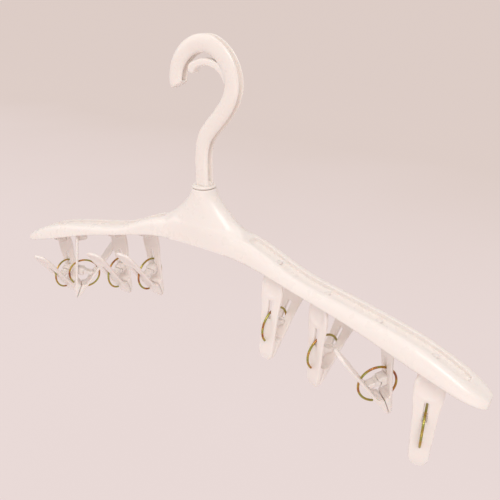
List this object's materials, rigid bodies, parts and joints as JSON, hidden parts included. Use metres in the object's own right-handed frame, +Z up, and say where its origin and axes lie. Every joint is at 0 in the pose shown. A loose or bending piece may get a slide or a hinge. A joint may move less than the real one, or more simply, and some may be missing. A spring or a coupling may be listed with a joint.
{
  "type": "clothes hanger with pegs",
  "caption": "Plastic laundry hanger with a channelled hollow body, swivel hook with a grip tongue, and swivelling ring-spring pegs hung under both arms.",
  "frame": {"origin": "the point under the hook's grip tongue, on the hanger's centre line, where the hanger rests on a rail", "axes": "+X along the arms to the viewer's right, +Y to the back, +Z up; the hook's flat profile lies in the X-Z plane at rest"},
  "size_m": [0.42, 0.0597, 0.2444],
  "materials": {
    "body_plastic": "glossy off-white moulded plastic",
    "hook_plastic": "glossy off-white moulded plastic",
    "peg_plastic": "semi-gloss off-white moulded plastic",
    "link_plastic": "semi-gloss off-white moulded plastic",
    "spring_wire": "bright spring wire with a gold and green passivated zinc sheen"
  },
  "bodies": {
    "hook": {"hook": "hook_plastic"},
    "hanger_body": {"hanger_body": "body_plastic"},
    "peg_1_link": {"peg_1_link": "link_plastic"},
    "peg_1_fixed": {"peg_1_fixed_leaf": "peg_plastic", "peg_1_ring_spring": "spring_wire"},
    "peg_1_lever": {"peg_1_lever_leaf": "peg_plastic"},
    "peg_2_link": {"peg_2_link": "link_plastic"},
    "peg_2_fixed": {"peg_2_fixed_leaf": "peg_plastic", "peg_2_ring_spring": "spring_wire"},
    "peg_2_lever": {"peg_2_lever_leaf": "peg_plastic"},
    "peg_3_link": {"peg_3_link": "link_plastic"},
    "peg_3_fixed": {"peg_3_fixed_leaf": "peg_plastic", "peg_3_ring_spring": "spring_wire"},
    "peg_3_lever": {"peg_3_lever_leaf": "peg_plastic"},
    "peg_4_link": {"peg_4_link": "link_plastic"},
    "peg_4_fixed": {"peg_4_fixed_leaf": "peg_plastic", "peg_4_ring_spring": "spring_wire"},
    "peg_4_lever": {"peg_4_lever_leaf": "peg_plastic"},
    "peg_5_link": {"peg_5_link": "link_plastic"},
    "peg_5_fixed": {"peg_5_fixed_leaf": "peg_plastic", "peg_5_ring_spring": "spring_wire"},
    "peg_5_lever": {"peg_5_lever_leaf": "peg_plastic"},
    "peg_6_link": {"peg_6_link": "link_plastic"},
    "peg_6_fixed": {"peg_6_fixed_leaf": "peg_plastic", "peg_6_ring_spring": "spring_wire"},
    "peg_6_lever": {"peg_6_lever_leaf": "peg_plastic"},
    "peg_7_link": {"peg_7_link": "link_plastic"},
    "peg_7_fixed": {"peg_7_fixed_leaf": "peg_plastic", "peg_7_ring_spring": "spring_wire"},
    "peg_7_lever": {"peg_7_lever_leaf": "peg_plastic"},
    "peg_8_link": {"peg_8_link": "link_plastic"},
    "peg_8_fixed": {"peg_8_fixed_leaf": "peg_plastic", "peg_8_ring_spring": "spring_wire"},
    "peg_8_lever": {"peg_8_lever_leaf": "peg_plastic"}
  },
  "joints": [
    {"name": "hook_swivel", "type": "hinge", "parent": "hook", "child": "hanger_body", "pos_m": [0, 0, -0.0813], "axis": [0, 0, 1], "continuous": true},
    {"name": "peg_1_swivel", "type": "hinge", "parent": "hanger_body", "child": "peg_1_link", "pos_m": [-0.176, -0.00541, -0.16178], "axis": [0, 0, 1], "range_deg": [-180, 50]},
    {"name": "peg_1_rock", "type": "hinge", "parent": "peg_1_link", "child": "peg_1_fixed", "pos_m": [-0.176, -0.00541, -0.16178], "axis": [0.9925, 0.1219, 0], "range_deg": [-25, 22]},
    {"name": "peg_1_squeeze", "type": "hinge", "parent": "peg_1_fixed", "child": "peg_1_lever", "pos_m": [-0.17618, -0.00393, -0.19714], "axis": [-0.9925, -0.1219, 0], "range_deg": [0, 16], "stiffness_Nm_per_rad": 0.25, "springref_deg": -34.38, "deforming": ["peg_1_ring_spring"]},
    {"name": "peg_2_swivel", "type": "hinge", "parent": "hanger_body", "child": "peg_2_link", "pos_m": [-0.1395, -0.0034, -0.15091], "axis": [0, 0, 1], "continuous": true},
    {"name": "peg_2_rock", "type": "hinge", "parent": "peg_2_link", "child": "peg_2_fixed", "pos_m": [-0.1395, -0.0034, -0.15091], "axis": [-0.7986, 0.6018, 0], "range_deg": [-12, 18]},
    {"name": "peg_2_squeeze", "type": "hinge", "parent": "peg_2_fixed", "child": "peg_2_lever", "pos_m": [-0.14169, -0.00631, -0.18612], "axis": [0.7986, -0.6018, 0], "range_deg": [0, 16], "stiffness_Nm_per_rad": 0.25, "springref_deg": -34.38, "deforming": ["peg_2_ring_spring"]},
    {"name": "peg_3_swivel", "type": "hinge", "parent": "hanger_body", "child": "peg_3_link", "pos_m": [-0.1025, -0.00183, -0.14122], "axis": [0, 0, 1], "continuous": true},
    {"name": "peg_3_rock", "type": "hinge", "parent": "peg_3_link", "child": "peg_3_fixed", "pos_m": [-0.1025, -0.00183, -0.14122], "axis": [0.9945, 0.1045, 0], "range_deg": [-25, 11]},
    {"name": "peg_3_squeeze", "type": "hinge", "parent": "peg_3_fixed", "child": "peg_3_lever", "pos_m": [-0.10262, -0.00066, -0.1766], "axis": [-0.9945, -0.1045, 0], "range_deg": [0, 16], "stiffness_Nm_per_rad": 0.25, "springref_deg": -34.38, "deforming": ["peg_3_ring_spring"]},
    {"name": "peg_4_swivel", "type": "hinge", "parent": "hanger_body", "child": "peg_4_link", "pos_m": [-0.065, -0.00074, -0.13229], "axis": [0, 0, 1], "continuous": true},
    {"name": "peg_4_rock", "type": "hinge", "parent": "peg_4_link", "child": "peg_4_fixed", "pos_m": [-0.065, -0.00074, -0.13229], "axis": [1, 0, 0], "range_deg": [-25, 25]},
    {"name": "peg_4_squeeze", "type": "hinge", "parent": "peg_4_fixed", "child": "peg_4_lever", "pos_m": [-0.065, 0.00106, -0.16764], "axis": [-1, 0, 0], "range_deg": [0, 16], "stiffness_Nm_per_rad": 0.25, "springref_deg": -34.38, "deforming": ["peg_4_ring_spring"]},
    {"name": "peg_5_swivel", "type": "hinge", "parent": "hanger_body", "child": "peg_5_link", "pos_m": [0.065, -0.00074, -0.13229], "axis": [0, 0, 1], "continuous": true},
    {"name": "peg_5_rock", "type": "hinge", "parent": "peg_5_link", "child": "peg_5_fixed", "pos_m": [0.065, -0.00074, -0.13229], "axis": [-0.9925, 0.1219, 0], "range_deg": [-25, 25]},
    {"name": "peg_5_squeeze", "type": "hinge", "parent": "peg_5_fixed", "child": "peg_5_lever", "pos_m": [0.06463, -0.00374, -0.16756], "axis": [0.9925, -0.1219, 0], "range_deg": [0, 16], "stiffness_Nm_per_rad": 0.25, "springref_deg": -34.38, "deforming": ["peg_5_ring_spring"]},
    {"name": "peg_6_swivel", "type": "hinge", "parent": "hanger_body", "child": "peg_6_link", "pos_m": [0.1025, -0.00183, -0.14122], "axis": [0, 0, 1], "range_deg": [-20, 180]},
    {"name": "peg_6_rock", "type": "hinge", "parent": "peg_6_link", "child": "peg_6_fixed", "pos_m": [0.1025, -0.00183, -0.14122], "axis": [-0.9336, 0.3584, 0], "range_deg": [-20, 13]},
    {"name": "peg_6_squeeze", "type": "hinge", "parent": "peg_6_fixed", "child": "peg_6_lever", "pos_m": [0.10252, -0.00178, -0.17661], "axis": [0.9336, -0.3584, 0], "range_deg": [0, 16], "stiffness_Nm_per_rad": 0.25, "springref_deg": -34.38, "deforming": ["peg_6_ring_spring"]},
    {"name": "peg_7_swivel", "type": "hinge", "parent": "hanger_body", "child": "peg_7_link", "pos_m": [0.1395, -0.0034, -0.15091], "axis": [0, 0, 1], "range_deg": [-50, 180]},
    {"name": "peg_7_rock", "type": "hinge", "parent": "peg_7_link", "child": "peg_7_fixed", "pos_m": [0.1395, -0.0034, -0.15091], "axis": [0.7193, -0.6947, 0], "range_deg": [-25, 22]},
    {"name": "peg_7_squeeze", "type": "hinge", "parent": "peg_7_fixed", "child": "peg_7_lever", "pos_m": [0.14139, -0.00144, -0.1862], "axis": [-0.7193, 0.6947, 0], "range_deg": [0, 16], "stiffness_Nm_per_rad": 0.25, "springref_deg": -34.38, "deforming": ["peg_7_ring_spring"]},
    {"name": "peg_8_swivel", "type": "hinge", "parent": "hanger_body", "child": "peg_8_link", "pos_m": [0.176, -0.00541, -0.16178], "axis": [0, 0, 1], "range_deg": [-180, 40]},
    {"name": "peg_8_rock", "type": "hinge", "parent": "peg_8_link", "child": "peg_8_fixed", "pos_m": [0.176, -0.00541, -0.16178], "axis": [-0.9781, -0.2079, 0], "range_deg": [-25, 25]},
    {"name": "peg_8_squeeze", "type": "hinge", "parent": "peg_8_fixed", "child": "peg_8_lever", "pos_m": [0.17644, -0.00747, -0.19711], "axis": [0.9781, 0.2079, 0], "range_deg": [0, 16], "stiffness_Nm_per_rad": 0.25, "springref_deg": -34.38, "deforming": ["peg_8_ring_spring"]}
  ]
}
